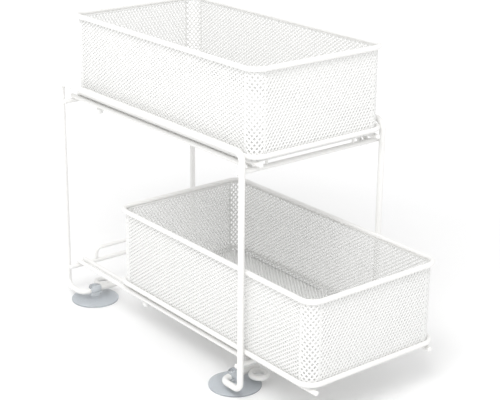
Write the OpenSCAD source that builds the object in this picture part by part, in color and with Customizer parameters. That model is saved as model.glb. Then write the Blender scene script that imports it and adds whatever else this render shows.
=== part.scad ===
// Under sink organizer: a wire frame on four suction cups that carries two
// expanded-metal baskets, each sliding forward on a pair of double wire rails.
// The origin is on the floor under the middle of the four legs. The front is -Y.

/* [Frame] */
// Spacing of the legs across the width, centre to centre
leg_span_x = 180; // [150:1:260]
// Spacing of the legs front to back, centre to centre
leg_span_y = 322; // [300:1:420]
// Diameter of the frame wire
frame_wire = 6.4; // [5:0.1:8]
// Height of the foot wire's centre above the floor
foot_height = 11; // [10:0.5:14]
// Height of the lower crossbars' centre above the floor
lower_level = 35.5; // [30:0.5:60]
// Height of the upper crossbars' centre above the floor
upper_level = 234.8; // [190:0.5:300]
// Height of the side frames' top wire above the upper crossbars
top_wire_rise = 21; // [18:0.5:40]
// Centreline radius of the side frames' bends
frame_bend = 9; // [8:0.5:11]
// Length of the foot wire along the side, from the leg to the inward run
foot_run = 29.7; // [26:0.1:36]
// Length of the foot wire's inward run, from the leg
foot_reach = 48; // [42:0.5:55]

/* [Crossbars and rails] */
// Diameter of the crossbars
crossbar_wire = 5.2; // [4:0.1:6]
// Length of a crossbar beyond the leg's centre at each end
crossbar_overhang = 1.5; // [0:0.1:3]
// Diameter of the rail wires
rail_wire = 5; // [4:0.1:5.5]
// Spacing of the two rail wires of one side, centre to centre
rail_spacing = 8.4; // [8:0.1:9.5]
// Distance from the leg's centre to the outer rail's centre
rail_inset = 11; // [9:0.5:14]
// Length of a rail beyond the rear crossbar's centre
rail_overhang = 3.2; // [2.6:0.1:5]
// Centreline radius of a rail's front bend
rail_bend = 9; // [6:0.5:10]
// Diameter of the back-stop wire
stop_wire = 4.4; // [3:0.1:5]
// Width of the back stop, between its legs' centres
stop_width = 110; // [80:1:125]
// Height of the back stop's top wire above the crossbar
stop_rise = 15.3; // [14:0.1:22]
// Centreline radius of the back stop's bends
stop_bend = 6; // [4:0.5:7]
// Diameter of the two pegs on a front crossbar
peg_wire = 2.8; // [2:0.1:4]
// Height of a peg above the crossbar's centre
peg_rise = 8; // [5:0.1:9]
// Distance between the two pegs
peg_spacing = 111; // [80:1:120]

/* [Feet] */
// Diameter of a suction cup
cup_diameter = 54; // [40:1:60]
// Thickness of a suction cup at its edge
cup_edge = 1.2; // [0.8:0.1:2]
// Diameter of a suction cup's head
cup_head = 14.8; // [13:0.1:17]
// Thickness of the head above and below the wire through it
cup_head_cover = 2.2; // [1.5:0.1:3]
// Distance from the leg's centre to the cup's centre, inward
cup_inset = 17; // [15:0.5:22]
// Diameter of the screw eye's wire
eye_wire = 5.6; // [4:0.1:6]
// Centreline radius of the screw eye
eye_radius = 8; // [6:0.5:9]
// Distance from the leg's centre to the eye's centre, inward
eye_inset = 36.5; // [33:0.5:40]

/* [Baskets] */
// Gap between a basket's base wire and the legs beside it
side_gap = 0.6; // [0.4:0.1:4]
// Outer length of a basket's mesh
basket_length = 310.5; // [290:0.1:405]
// Distance of the closed basket's front mesh ahead of the front legs
basket_front = 5.9; // [2:0.1:12]
// Height of the rim wire's centre above the crossbars
rim_rise = 99.2; // [70:0.1:130]
// Height of the base wire's centre above the crossbars
base_rise = 16; // [14.5:0.1:24]
// Outer radius of the mesh at a basket's upright corners
corner_radius = 13; // [8:0.5:20]
// Diameter of the rim wire
rim_wire = 5.2; // [4:0.1:6]
// Distance of the rim wire's centre outside the mesh
rim_offset = 1.6; // [0.5:0.1:2]
// Diameter of the base wire
base_wire = 5; // [4:0.1:5.2]
// Diameter of the runner wires
runner_wire = 5; // [4:0.1:5.5]
// Running gap between a runner and each of its rails
runner_gap = 0.3; // [0.2:0.05:0.6]
// Diameter of a glide knob
knob_diameter = 8; // [7:0.1:10]
// Gap between a glide knob and the rails above it
knob_gap = 0.4; // [0.3:0.05:1]
// Distance from a basket's rear mesh to its glide knobs
knob_setback = 36.6; // [25:0.1:60]
// Distance by which the lower basket stands pulled out
lower_pull = 84; // [0:1:230]

/* [Mesh] */
// Thickness of the mesh sheet
mesh_thickness = 1.2; // [0.8:0.1:2]
// Longer size of a diamond cell
cell_long = 24; // [18:0.5:40]
// Shorter size of a diamond cell
cell_short = 16.8; // [12:0.5:30]
// Width of the strands between the cells
strand = 2.2; // [1:0.1:4]
// Plain band left along the edges of a mesh panel
mesh_border = 2.4; // [1:0.1:6]

/* [Hidden] */
$fn = 32;
// hair's gap left where two pieces are welded, so that no two solids overlap
seat = 0.02;
// play of the foot wire in a suction cup's head
cup_fit = 0.05;
leg_x = leg_span_x / 2;
leg_y = leg_span_y / 2;
top_level = upper_level + top_wire_rise;
crossbar_y = leg_y - frame_wire / 2 - crossbar_wire / 2 - seat;
rail_rise = crossbar_wire / 2 + rail_wire / 2 + seat;
rail_out_x = leg_x - rail_inset;
rail_in_x = rail_out_x - rail_spacing;
rail_rear_y = crossbar_y + rail_overhang;
rail_drop_y = -crossbar_y + crossbar_wire / 2 + rail_wire / 2 + seat;
foot_y = leg_y - foot_run;
cup_x = leg_x - cup_inset;
eye_y = foot_y + frame_wire / 2 + eye_wire / 2 + eye_radius + seat;
eye_x = leg_x - eye_inset;
runner_x = rail_out_x - rail_spacing / 2;
runner_reach = rail_wire / 2 + runner_wire / 2 + runner_gap;
runner_rise = rail_rise + sqrt(pow(runner_reach, 2) - pow(rail_spacing / 2, 2));
floor_rise = runner_rise + runner_wire / 2 + seat;
base_offset = base_wire / 2 + seat;
wall_top = rim_rise - sqrt(pow(rim_wire / 2, 2) - pow(rim_offset, 2)) - seat;
basket_width = leg_span_x - frame_wire - 2 * (side_gap + base_offset + base_wire / 2);
half_w = basket_width / 2;
front_y = -leg_y - basket_front;
rear_y = front_y + basket_length;
mid_y = (front_y + rear_y) / 2;
knob_y = rear_y - knob_setback;
knob_rise = rail_rise - rail_wire / 2 - knob_gap - knob_diameter / 2;
stem_wire = rail_spacing - rail_wire - 2 * runner_gap;

LEVELS = [["upper", upper_level, 0], ["lower", lower_level, -lower_pull]];
SIDES = [["left", -1], ["right", 1]];
ENDS = [["front", -1], ["rear", 1]];

// Vector helpers
function unit(v) = v / norm(v);
function across(v) = abs(v[2]) < 0.9 ? unit(cross([0, 0, 1], v)) : [1, 0, 0];

// Places its children with their axes along x, y and z, and their origin at p
module placed(x, y, z, p) {
    multmatrix([
        [x[0], y[0], z[0], p[0]],
        [x[1], y[1], z[1], p[1]],
        [x[2], y[2], z[2], p[2]],
        [0, 0, 0, 1]
    ]) children();
}

// Straight round wire from a to b, with chamfered tips where asked
module rod(a, b, d, tip_a = false, tip_b = false) {
    w = unit(b - a);
    u = across(w);
    tip = d * 0.2;
    from = tip_a ? tip : 0;
    to = norm(b - a) - (tip_b ? tip : 0);
    placed(u, cross(w, u), w, a) {
        translate([0, 0, from]) cylinder(h = to - from, d = d);
        if (tip_a) cylinder(h = tip, d1 = d - 2 * tip, d2 = d);
        if (tip_b) translate([0, 0, to]) cylinder(h = tip, d1 = d, d2 = d - 2 * tip);
    }
}

// Bend of a round wire at the vertex v, from the direction a to the direction b
module elbow(v, a, b, d, r) {
    turn = acos(a * b);
    out = unit(b - a * (a * b));
    start = v - a * r * tan(turn / 2);
    placed(-out, a, cross(a, out), start + out * r)
        rotate_extrude(angle = turn) translate([r, 0]) circle(d = d);
}

// Length that a bend of radius r takes from each leg at point i of the route
function trim(pts, i, r, closed) =
    let (n = len(pts))
    !closed && (i == 0 || i == n - 1) ? 0 :
    let (a = unit(pts[i] - pts[(i + n - 1) % n]), b = unit(pts[(i + 1) % n] - pts[i]))
    r * tan(acos(a * b) / 2);

// Bent round wire of diameter d through the route's points
module wire(pts, d, r, closed = false) {
    n = len(pts);
    for (i = [0 : closed ? n - 1 : n - 2]) {
        j = (i + 1) % n;
        w = unit(pts[j] - pts[i]);
        rod(pts[i] + w * trim(pts, i, r, closed), pts[j] - w * trim(pts, j, r, closed), d,
            !closed && i == 0, !closed && j == n - 1);
    }
    for (i = closed ? [0 : n - 1] : [1 : n - 2])
        elbow(pts[i], unit(pts[i] - pts[(i + n - 1) % n]), unit(pts[(i + 1) % n] - pts[i]), d, r);
}

// One side of the frame: two legs, the wire over them and a bent foot at each end
module side_frame(s) {
    color("whitesmoke") wire([
        [s * (leg_x - foot_reach), foot_y, foot_height],
        [s * leg_x, foot_y, foot_height],
        [s * leg_x, leg_y, foot_height],
        [s * leg_x, leg_y, top_level],
        [s * leg_x, -leg_y, top_level],
        [s * leg_x, -leg_y, foot_height],
        [s * leg_x, -foot_y, foot_height],
        [s * (leg_x - foot_reach), -foot_y, foot_height]
    ], frame_wire, frame_bend);
}

// Crossbar behind or before the legs, with two pegs where it is a front one
module crossbar(level, e) {
    half = leg_x + crossbar_overhang;
    color("whitesmoke") {
        rod([-half, e * crossbar_y, level], [half, e * crossbar_y, level], crossbar_wire, true, true);
        if (e < 0)
            for (s = [-1, 1])
                translate([s * peg_spacing / 2, e * crossbar_y, level]) cylinder(h = peg_rise, d = peg_wire);
    }
}

// Rail wire that lies on the crossbars and bends down behind the front one
module rail(level, x) {
    z = level + rail_rise;
    color("whitesmoke")
        wire([[x, rail_rear_y, z], [x, rail_drop_y, z], [x, rail_drop_y, z - rail_bend - rail_wire / 5]],
            rail_wire, rail_bend);
}

// Low hoop on the rear crossbar that stops the basket
module back_stop(level) {
    foot = level + crossbar_wire / 2 + seat;
    half = stop_width / 2;
    color("whitesmoke") wire([
        [-half, crossbar_y, foot],
        [-half, crossbar_y, level + stop_rise],
        [half, crossbar_y, level + stop_rise],
        [half, crossbar_y, foot]
    ], stop_wire, stop_bend);
}

// Suction cup whose head has the foot wire through it
module suction_cup(s, e) {
    edge_r = cup_diameter / 2;
    head_r = cup_head / 2;
    head_low = foot_height - frame_wire / 2 - cup_head_cover;
    head_top = foot_height + frame_wire / 2 + cup_head_cover;
    neck_r = head_r - 2;
    round_r = 2;
    color("lightsteelblue", 0.6) translate([s * cup_x, e * foot_y, 0]) difference() {
        rotate_extrude() polygon([
            [0, cup_edge + 0.8], [edge_r * 0.3, cup_edge + 0.4], [edge_r - 2, 0], [edge_r, 0],
            [edge_r, cup_edge], [edge_r * 0.45, cup_edge + 1.6], [neck_r, head_low - 1], [neck_r, head_low],
            [head_r - round_r / 2, head_low], [head_r, head_low + round_r / 2], [head_r, head_top - round_r],
            [head_r - round_r * 0.3, head_top - round_r * 0.3], [head_r - round_r, head_top], [0, head_top]
        ]);
        translate([-head_r - 1, 0, foot_height]) rotate([0, 90, 0])
            cylinder(h = cup_head + 2, r = frame_wire / 2 + cup_fit);
    }
}

// Closed eye welded beside the foot's inward run
module screw_eye(s, e) {
    color("whitesmoke") translate([s * eye_x, e * eye_y, foot_height])
        rotate_extrude() translate([eye_radius, 0]) circle(d = eye_wire);
}

// Closed ring of wire round a basket, its centre off outside the mesh
module basket_ring(level, pull, off, rise, d) {
    x = half_w + off;
    a = front_y + pull - off;
    b = rear_y + pull + off;
    z = level + rise;
    color("whitesmoke")
        wire([[-x, a, z], [x, a, z], [x, b, z], [-x, b, z]], d, corner_radius + off, true);
}

// Sheet of diamond cells in the XY plane, centred, with whole or half cells only.
// w and h are its size, cw and ch the cell's size along each, r its corners' radius.
module mesh_sheet(w, h, cw, ch, r = 0) {
    inner_w = w - 2 * mesh_border;
    inner_h = h - 2 * mesh_border;
    nx = max(1, round(inner_w / cw));
    ny = max(1, round(inner_h / ch));
    px = inner_w / nx;
    py = inner_h / ny;
    gx = px / 2 - strand * 0.62;
    gy = py / 2 - strand * 0.62 * py / px;
    linear_extrude(mesh_thickness) difference() {
        union() {
            square([w, h - 2 * r], center = true);
            if (r > 0) {
                square([w - 2 * r, h], center = true);
                for (x = [-1, 1]) for (y = [-1, 1]) translate([x * (w / 2 - r), y * (h / 2 - r)]) circle(r = r);
            }
        }
        for (i = [0 : 2 * nx]) for (j = [0 : 2 * ny])
            if ((i + j) % 2 == 1 && (abs(i - nx) * px < w - 3 * r || abs(j - ny) * py < h - 3 * r))
            translate([-inner_w / 2 + i * px / 2, -inner_h / 2 + j * py / 2])
                intersection() {
                    polygon([[-gx, 0], [0, -gy], [gx, 0], [0, gy]]);
                    translate([i == 0 ? 0 : -gx, j == 0 ? 0 : -gy])
                        square([i == 0 || i == 2 * nx ? gx : 2 * gx, j == 0 || j == 2 * ny ? gy : 2 * gy]);
                }
    }
}

// Floor of a basket, with its cells lying front to back
module mesh_floor(level, pull) {
    color("gainsboro") translate([0, mid_y + pull, level + floor_rise])
        mesh_sheet(basket_width - 2 * mesh_thickness, basket_length - 2 * mesh_thickness, cell_short, cell_long,
            corner_radius - mesh_thickness);
}

// Front or rear wall between the rounded corners, with upright cells
module mesh_end(level, pull, e) {
    h = wall_top - floor_rise;
    y = (e < 0 ? front_y : rear_y - mesh_thickness) + pull;
    color("gainsboro") translate([0, y + mesh_thickness, level + floor_rise + h / 2])
        rotate([90, 0, 0]) mesh_sheet(basket_width - 2 * corner_radius, h, cell_short, cell_long);
}

// Left or right wall between the rounded corners, with lying cells
module mesh_side(level, pull, s) {
    h = wall_top - floor_rise;
    x = s < 0 ? -half_w : half_w - mesh_thickness;
    color("gainsboro") translate([x, mid_y + pull, level + floor_rise + h / 2])
        rotate([90, 0, 90]) mesh_sheet(basket_length - 2 * corner_radius, h, cell_long, cell_short);
}

// Rounded upright corner of a basket, with a column of cells
module mesh_corner(level, pull, s, e) {
    h = wall_top - floor_rise;
    count = round((h - 2 * mesh_border) / cell_long);
    pitch = (h - 2 * mesh_border) / count;
    gx = cell_short / 2 - strand * 0.62;
    gy = pitch / 2 - strand * 0.9;
    cx = s * (half_w - corner_radius);
    cy = (e < 0 ? front_y + corner_radius : rear_y - corner_radius) + pull;
    start = s > 0 ? (e > 0 ? 0 : 270) : (e > 0 ? 90 : 180);
    color("gainsboro") translate([cx, cy, level + floor_rise]) rotate([0, 0, start]) difference() {
        rotate_extrude(angle = 90) translate([corner_radius - mesh_thickness, 0])
            square([mesh_thickness, h]);
        for (i = [0 : count - 1])
            translate([0, 0, mesh_border + (i + 0.5) * pitch]) rotate([0, 0, 45]) rotate([90, 0, 90])
                linear_extrude(corner_radius + 1) polygon([[-gx, 0], [0, -gy], [gx, 0], [0, gy]]);
    }
}

// Straight wire under a basket's floor that rides between its two rails
module runner(level, pull, s) {
    over = base_offset + base_wire / 2;
    z = level + runner_rise;
    color("whitesmoke")
        rod([s * runner_x, front_y - over + pull, z], [s * runner_x, rear_y + over + pull, z],
            runner_wire, true, true);
}

// Knob that hangs from a runner through the slot and holds the basket down
module glide_knob(level, pull, s) {
    stem_top = runner_rise - runner_wire / 2 - seat;
    color("white") translate([s * runner_x, knob_y + pull, level]) {
        translate([0, 0, knob_rise]) sphere(d = knob_diameter);
        translate([0, 0, knob_rise]) cylinder(h = stem_top - knob_rise, d = stem_wire);
    }
}

for (s = SIDES)
    side_frame(s[1]);
for (l = LEVELS, e = ENDS)
    crossbar(l[1], e[1]);
for (l = LEVELS, s = SIDES) {
    rail(l[1], s[1] * rail_out_x);
    rail(l[1], s[1] * rail_in_x);
}
for (l = LEVELS)
    back_stop(l[1]);
for (e = ENDS, s = SIDES) {
    suction_cup(s[1], e[1]);
    screw_eye(s[1], e[1]);
}
for (l = LEVELS) {
    basket_ring(l[1], l[2], rim_offset, rim_rise, rim_wire);
    basket_ring(l[1], l[2], base_offset, base_rise, base_wire);
    mesh_floor(l[1], l[2]);
}
for (l = LEVELS, e = ENDS)
    mesh_end(l[1], l[2], e[1]);
for (l = LEVELS, s = SIDES)
    mesh_side(l[1], l[2], s[1]);
for (l = LEVELS, e = ENDS, s = SIDES)
    mesh_corner(l[1], l[2], s[1], e[1]);
for (l = LEVELS, s = SIDES) {
    runner(l[1], l[2], s[1]);
    glide_knob(l[1], l[2], s[1]);
}
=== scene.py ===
"""Under sink organizer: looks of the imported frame, with the expanded metal at its real pitch.

Every new piece is a parametric surface in metres in the frame of the part: origin on the floor under
the middle of the legs, +X to the right, -Y to the front, +Z up.
"""

import bpy
import numpy as np
from mathutils import Matrix, Vector


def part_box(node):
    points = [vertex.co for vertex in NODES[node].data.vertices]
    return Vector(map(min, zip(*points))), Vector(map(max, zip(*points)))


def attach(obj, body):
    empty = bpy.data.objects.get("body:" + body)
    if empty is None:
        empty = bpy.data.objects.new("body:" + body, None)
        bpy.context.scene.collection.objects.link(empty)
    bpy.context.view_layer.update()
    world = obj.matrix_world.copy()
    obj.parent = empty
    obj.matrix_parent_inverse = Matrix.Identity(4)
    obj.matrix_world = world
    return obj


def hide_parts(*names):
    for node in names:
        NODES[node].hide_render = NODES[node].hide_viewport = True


bl_info = {
    "name": "Under sink organizer",
    "version": (1, 0, 0),
    "blender": (4, 0, 0),
    "location": "View3D > Sidebar > Organizer",
    "description": "Dresses the packed organizer and sets its white stage",
    "category": "Object",
}

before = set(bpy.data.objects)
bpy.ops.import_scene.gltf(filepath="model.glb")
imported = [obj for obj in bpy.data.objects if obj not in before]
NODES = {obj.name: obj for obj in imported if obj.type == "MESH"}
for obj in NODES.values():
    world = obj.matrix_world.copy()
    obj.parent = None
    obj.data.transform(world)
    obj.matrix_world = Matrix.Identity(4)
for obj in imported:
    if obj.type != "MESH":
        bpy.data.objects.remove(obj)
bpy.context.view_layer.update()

CORNER_RADIUS = 0.013
SHEET = 0.0012


class OrganizerMesh(bpy.types.PropertyGroup):
    """Sizes of the expanded metal."""

    long_pitch: bpy.props.FloatProperty(
        name="Long pitch", description="Long way of a diamond", default=0.00597, unit="LENGTH")
    short_pitch: bpy.props.FloatProperty(
        name="Short pitch", description="Short way of a diamond", default=0.00417, unit="LENGTH")
    opening: bpy.props.FloatProperty(
        name="Opening", description="Size of the hole as a part of its cell", default=0.6, min=0.2, max=0.9)
    edge: bpy.props.FloatProperty(
        name="Edge", description="Plain strip along the edges", default=0.0009, unit="LENGTH")
    tilt: bpy.props.FloatProperty(
        name="Tilt", description="Height by which the strands tilt", default=0.0004, unit="LENGTH")


class OrganizerStage(bpy.types.PropertyGroup):
    """Camera and light."""

    focal: bpy.props.FloatProperty(name="Focal length", description="Lens, mm", default=91.83)
    key: bpy.props.FloatProperty(name="Key", description="Power of the key lamp, W", default=26.0)
    fill: bpy.props.FloatProperty(name="Fill", description="Strength of the white surroundings", default=0.85)


def principled(name, colour, roughness, bump, scale, **inputs):
    """Procedural material: a Principled surface with a fine noise bump and a slight tone change."""
    mat = bpy.data.materials.new(name)
    mat.use_nodes = True
    tree = mat.node_tree
    shader = tree.nodes["Principled BSDF"]
    shader.inputs["Roughness"].default_value = roughness
    for key, value in inputs.items():
        socket = key.replace("_", " ")
        if socket in shader.inputs:
            shader.inputs[socket].default_value = value
    coords = tree.nodes.new("ShaderNodeTexCoord")
    noise = tree.nodes.new("ShaderNodeTexNoise")
    noise.inputs["Scale"].default_value = scale
    tree.links.new(coords.outputs["Object"], noise.inputs["Vector"])
    ramp = tree.nodes.new("ShaderNodeValToRGB")
    ramp.color_ramp.elements[0].color = (*[c * 0.97 for c in colour], 1)
    ramp.color_ramp.elements[1].color = (*colour, 1)
    tree.links.new(noise.outputs["Fac"], ramp.inputs["Fac"])
    tree.links.new(ramp.outputs["Color"], shader.inputs["Base Color"])
    relief = tree.nodes.new("ShaderNodeBump")
    relief.inputs["Strength"].default_value = bump
    relief.inputs["Distance"].default_value = 0.0002
    tree.links.new(noise.outputs["Fac"], relief.inputs["Height"])
    tree.links.new(relief.outputs["Normal"], shader.inputs["Normal"])
    return mat


def diamonds(width, height, pitch_u, pitch_v, props):
    """Closed expanded-metal sheet as points (u, v, w) and quads.

    Tile (i, j), i + j odd, has its centre at (i a, j b), a and b half the fitted pitches. Its outer
    diamond c + (a cos t, b sin t), t = 0, 90, 180, 270 degrees, tiles the sheet; the hole is the same
    diamond times the opening, kept one edge strip inside the sheet. Both are clamped to the sheet.
    w = thickness * side + tilt * sin t, so that the strands lean over each other.
    """
    nu, nv = max(1, round(width / pitch_u)), max(1, round(height / pitch_v))
    a, b = width / nu / 2, height / nv / 2
    i, j = np.meshgrid(np.arange(2 * nu + 1), np.arange(2 * nv + 1), indexing="ij")
    odd = (i + j) % 2 == 1
    centre = np.stack([i[odd] * a, j[odd] * b], 1)
    step = np.array([[1, 0], [0, 1], [-1, 0], [0, -1]]) * [a, b]
    outer = np.clip(centre[:, None] + step, 0, [width, height])
    low = props.edge
    inner = np.clip(centre[:, None] + props.opening * step, low, [width - low, height - low])
    lean = props.tilt * np.array([0, 1, 0, -1.0])
    rings = []
    for ring, tilt in ((outer, 0), (inner, lean)):
        for side in (0, SHEET):
            w = np.broadcast_to(side + tilt, ring.shape[:2])
            rings.append(np.concatenate([ring, w[..., None]], 2))
    points = np.stack(rings, 1)
    n = len(centre)
    base = (np.arange(n) * 16)[:, None]
    k = np.arange(4)
    m = (k + 1) % 4
    ob, ot, ib, it = 0 + k, 4 + k, 8 + k, 12 + k
    ob2, ot2, ib2, it2 = 0 + m, 4 + m, 8 + m, 12 + m
    quads = [np.stack([ot, ot2, it2, it], 1), np.stack([ob2, ob, ib, ib2], 1), np.stack([it, it2, ib2, ib], 1)]
    faces = (base[:, :, None] + np.concatenate(quads)[None]).reshape(-1, 4)
    points = points.reshape(-1, 3)
    edges = []
    for axis, limit in ((0, 0.0), (0, width), (1, 0.0), (1, height)):
        length, half = (height, b) if axis == 0 else (width, a)
        t = np.arange(round(length / half) + 1) * half
        strip = np.zeros((2, len(t), 3))
        strip[:, :, 1 - axis] = t
        strip[:, :, axis] = limit
        strip[1, :, 2] = SHEET
        q = np.arange(len(t) - 1)
        wall = np.stack([q, q + 1, q + 1 + len(t), q + len(t)], 1) + len(points)
        flip = (axis == 0) == (limit == 0.0)
        edges.append(wall[:, ::-1] if flip else wall)
        points = np.concatenate([points, strip.reshape(-1, 3)])
    return points, np.concatenate([faces, *edges])


def make_piece(name, points, faces, mat, node, body):
    """Closed object from points and quads, joined at shared points, that stands for a CAD node."""
    key = np.round(points / 1e-6).astype(np.int64)
    _, first, back = np.unique(key, axis=0, return_index=True, return_inverse=True)
    faces = back.reshape(-1)[faces]
    after = np.roll(faces, -1, axis=1)
    keep = faces != after
    solid = keep.sum(1) >= 3
    mesh = bpy.data.meshes.new(name)
    mesh.from_pydata(points[first].tolist(), [], [f[k].tolist() for f, k in zip(faces[solid], keep[solid])])
    mesh.validate()
    mesh.materials.append(mat)
    obj = bpy.data.objects.new(name, mesh)
    bpy.context.scene.collection.objects.link(obj)
    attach(obj, body)
    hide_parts(node)
    return obj


class ORGANIZER_OT_expanded_metal(bpy.types.Operator):
    """Builds the expanded metal of both baskets at its real pitch"""

    bl_idname = "organizer.expanded_metal"
    bl_label = "Expanded metal"

    def execute(self, context):
        p = context.scene.organizer_mesh
        mat = principled("expanded_metal", (0.86, 0.86, 0.85), 0.42, 0.25, 900)
        for level in ("upper", "lower"):
            body = level + "_basket"
            low, high = (np.array(v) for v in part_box(level + "_mesh_floor"))
            w, d = high[:2] - low[:2]
            uv, faces = diamonds(w, d, p.short_pitch, p.long_pitch, p)
            pts = uv + low
            r = CORNER_RADIUS - SHEET
            mid, reach = (low[:2] + high[:2]) / 2, (high[:2] - low[:2]) / 2 - r
            local = pts[:, :2] - mid
            over = np.maximum(np.abs(local) - reach, 0)
            dist = np.linalg.norm(over, axis=1)
            out = dist > r
            pts[out, :2] = mid + np.sign(local[out]) * (reach + over[out] * (r / dist[out])[:, None])
            make_piece(level + "_expanded_floor", pts, faces, mat, level + "_mesh_floor", body)
            for end in ("front", "rear"):
                node = f"{level}_mesh_{end}"
                low, high = (np.array(v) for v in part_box(node))
                uv, faces = diamonds(high[0] - low[0], high[2] - low[2], p.short_pitch, p.long_pitch, p)
                pts = np.stack([low[0] + uv[:, 0], high[1] - uv[:, 2], low[2] + uv[:, 1]], 1)
                make_piece(f"{level}_expanded_{end}", pts, faces, mat, node, body)
            for side in ("left", "right"):
                node = f"{level}_mesh_{side}"
                low, high = (np.array(v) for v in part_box(node))
                uv, faces = diamonds(high[1] - low[1], high[2] - low[2], p.long_pitch, p.short_pitch, p)
                pts = np.stack([low[0] + uv[:, 2], low[1] + uv[:, 0], low[2] + uv[:, 1]], 1)
                make_piece(f"{level}_expanded_{side}", pts, faces, mat, node, body)
                for end in ("front", "rear"):
                    node = f"{level}_mesh_corner_{end}_{side}"
                    low, high = (np.array(v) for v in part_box(node))
                    r = CORNER_RADIUS - SHEET
                    uv, faces = diamonds(r * np.pi / 2, high[2] - low[2], p.short_pitch, p.long_pitch, p)
                    cx = low[0] if side == "right" else high[0]
                    cy = high[1] if end == "front" else low[1]
                    start = {"rearright": 0, "rearleft": 1, "frontleft": 2, "frontright": 3}[end + side]
                    angle = uv[:, 0] / r + start * np.pi / 2
                    rad = r + uv[:, 2]
                    pts = np.stack([cx + rad * np.cos(angle), cy + rad * np.sin(angle), low[2] + uv[:, 1]], 1)
                    make_piece(f"{level}_expanded_corner_{end}_{side}", pts, faces, mat, node, body)
        return {"FINISHED"}


class ORGANIZER_OT_finishes(bpy.types.Operator):
    """Paints the wires, knobs and suction cups"""

    bl_idname = "organizer.finishes"
    bl_label = "Finishes"

    def execute(self, context):
        paint = principled("painted_wire", (0.88, 0.875, 0.86), 0.3, 0.12, 350)
        knob = principled("glide_plastic", (0.88, 0.88, 0.87), 0.25, 0.05, 200)
        cup = principled("clear_plastic", (0.9, 0.93, 0.96), 0.2, 0.1, 120, Transmission_Weight=0.8, IOR=1.25)
        for name, obj in NODES.items():
            mat = cup if "suction" in name else knob if "knob" in name else paint
            obj.data.materials.clear()
            obj.data.materials.append(mat)
            obj.data.shade_smooth()
            if hasattr(obj.data, "set_sharp_from_angle"):
                obj.data.set_sharp_from_angle(angle=0.7)
        return {"FINISHED"}


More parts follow.
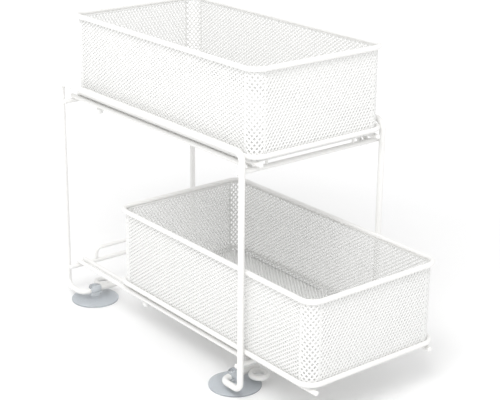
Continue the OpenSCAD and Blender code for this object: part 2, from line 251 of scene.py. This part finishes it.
class ORGANIZER_OT_stage(bpy.types.Operator):
    """Sets the camera, the white floor and the lamps"""

    bl_idname = "organizer.stage"
    bl_label = "Stage"

    def execute(self, context):
        p = context.scene.organizer_stage
        scene = context.scene
        camera = bpy.data.objects.new("camera", bpy.data.cameras.new("camera"))
        scene.collection.objects.link(camera)
        camera.data.lens, camera.data.sensor_width = p.focal, 36.0
        camera.data.shift_x, camera.data.shift_y = 0.08, -0.08
        yaw, pitch = 0.64787, 0.31762
        ahead = Vector((np.sin(yaw) * np.cos(pitch), np.cos(yaw) * np.cos(pitch), -np.sin(pitch)))
        right = Vector((np.cos(yaw), -np.sin(yaw), 0))
        turn = Matrix((right, right.cross(ahead), -ahead)).transposed().to_4x4()
        camera.matrix_world = Matrix.Translation((-0.78722, -1.03332, 0.6162)) @ turn
        camera.data.clip_start, camera.data.clip_end = 0.05, 60
        scene.camera = camera
        floor_mesh = bpy.data.meshes.new("floor")
        s = 12.0
        floor_mesh.from_pydata([(-s, -s, -2e-4), (s, -s, -2e-4), (s, s, -2e-4), (-s, s, -2e-4)], [], [(0, 1, 2, 3)])
        floor = bpy.data.objects.new("floor", floor_mesh)
        scene.collection.objects.link(floor)
        paper = principled("floor", (0.97, 0.97, 0.97), 0.7, 0.0, 5)
        # Painted light: the floor glows white, not at all within 0.45 m of the middle, rising to a strength of 0.35
        # at 1.6 m and beyond.
        painted_glow_nodes = paper.node_tree
        place = painted_glow_nodes.nodes.new("ShaderNodeTexCoord")
        reach = painted_glow_nodes.nodes.new("ShaderNodeVectorMath")
        reach.operation = "LENGTH"
        ramp = painted_glow_nodes.nodes.new("ShaderNodeMapRange")
        ramp.inputs["From Min"].default_value, ramp.inputs["From Max"].default_value = 0.45, 1.6
        ramp.inputs["To Max"].default_value = 0.35
        painted_glow_nodes.links.new(place.outputs["Object"], reach.inputs[0])
        painted_glow_nodes.links.new(reach.outputs["Value"], ramp.inputs["Value"])
        shader = painted_glow_nodes.nodes["Principled BSDF"]
        shader.inputs["Emission Color"].default_value = (1, 1, 1, 1)
        painted_glow_nodes.links.new(ramp.outputs["Result"], shader.inputs["Emission Strength"])
        floor_mesh.materials.append(paper)
        world = bpy.data.worlds.new("white")
        world.use_nodes = True
        tree = world.node_tree
        back = tree.nodes["Background"]
        back.inputs["Color"].default_value = (1, 1, 1, 1)
        back.inputs["Strength"].default_value = p.fill
        plain = tree.nodes.new("ShaderNodeBackground")
        plain.inputs["Strength"].default_value = 1.0
        plain.inputs["Color"].default_value = (1, 1, 1, 1)
        rays = tree.nodes.new("ShaderNodeLightPath")
        mix = tree.nodes.new("ShaderNodeMixShader")
        tree.links.new(rays.outputs["Is Camera Ray"], mix.inputs["Fac"])
        tree.links.new(back.outputs["Background"], mix.inputs[1])
        tree.links.new(plain.outputs["Background"], mix.inputs[2])
        tree.links.new(mix.outputs["Shader"], tree.nodes["World Output"].inputs["Surface"])
        scene.world = world
        lamp = bpy.data.objects.new("key", bpy.data.lights.new("key", "AREA"))
        lamp.data.energy, lamp.data.size = p.key, 1.2
        lamp.location = (-1.2, -0.9, 1.9)
        lamp.rotation_euler = (Vector((0, 0, 0.15)) - lamp.location).to_track_quat("-Z", "Y").to_euler()
        scene.collection.objects.link(lamp)
        scene.view_settings.view_transform = "Standard"
        return {"FINISHED"}


class ORGANIZER_PT_panel(bpy.types.Panel):
    """Settings of the organizer"""

    bl_label = "Organizer"
    bl_space_type = "VIEW_3D"
    bl_region_type = "UI"
    bl_category = "Organizer"

    def draw(self, context):
        for group in (context.scene.organizer_mesh, context.scene.organizer_stage):
            for key in group.__annotations__:
                self.layout.prop(group, key)
        for operator in OPERATORS:
            self.layout.operator(operator.bl_idname)


OPERATORS = (ORGANIZER_OT_expanded_metal, ORGANIZER_OT_finishes, ORGANIZER_OT_stage)
CLASSES = (OrganizerMesh, OrganizerStage, *OPERATORS, ORGANIZER_PT_panel)


def register():
    for cls in CLASSES:
        bpy.utils.register_class(cls)
    bpy.types.Scene.organizer_mesh = bpy.props.PointerProperty(type=OrganizerMesh)
    bpy.types.Scene.organizer_stage = bpy.props.PointerProperty(type=OrganizerStage)


def unregister():
    del bpy.types.Scene.organizer_stage
    del bpy.types.Scene.organizer_mesh
    for cls in reversed(CLASSES):
        bpy.utils.unregister_class(cls)


def main():
    register()
    bpy.ops.organizer.expanded_metal()
    bpy.ops.organizer.finishes()
    bpy.ops.organizer.stage()


if __name__ == "__main__":
    main()
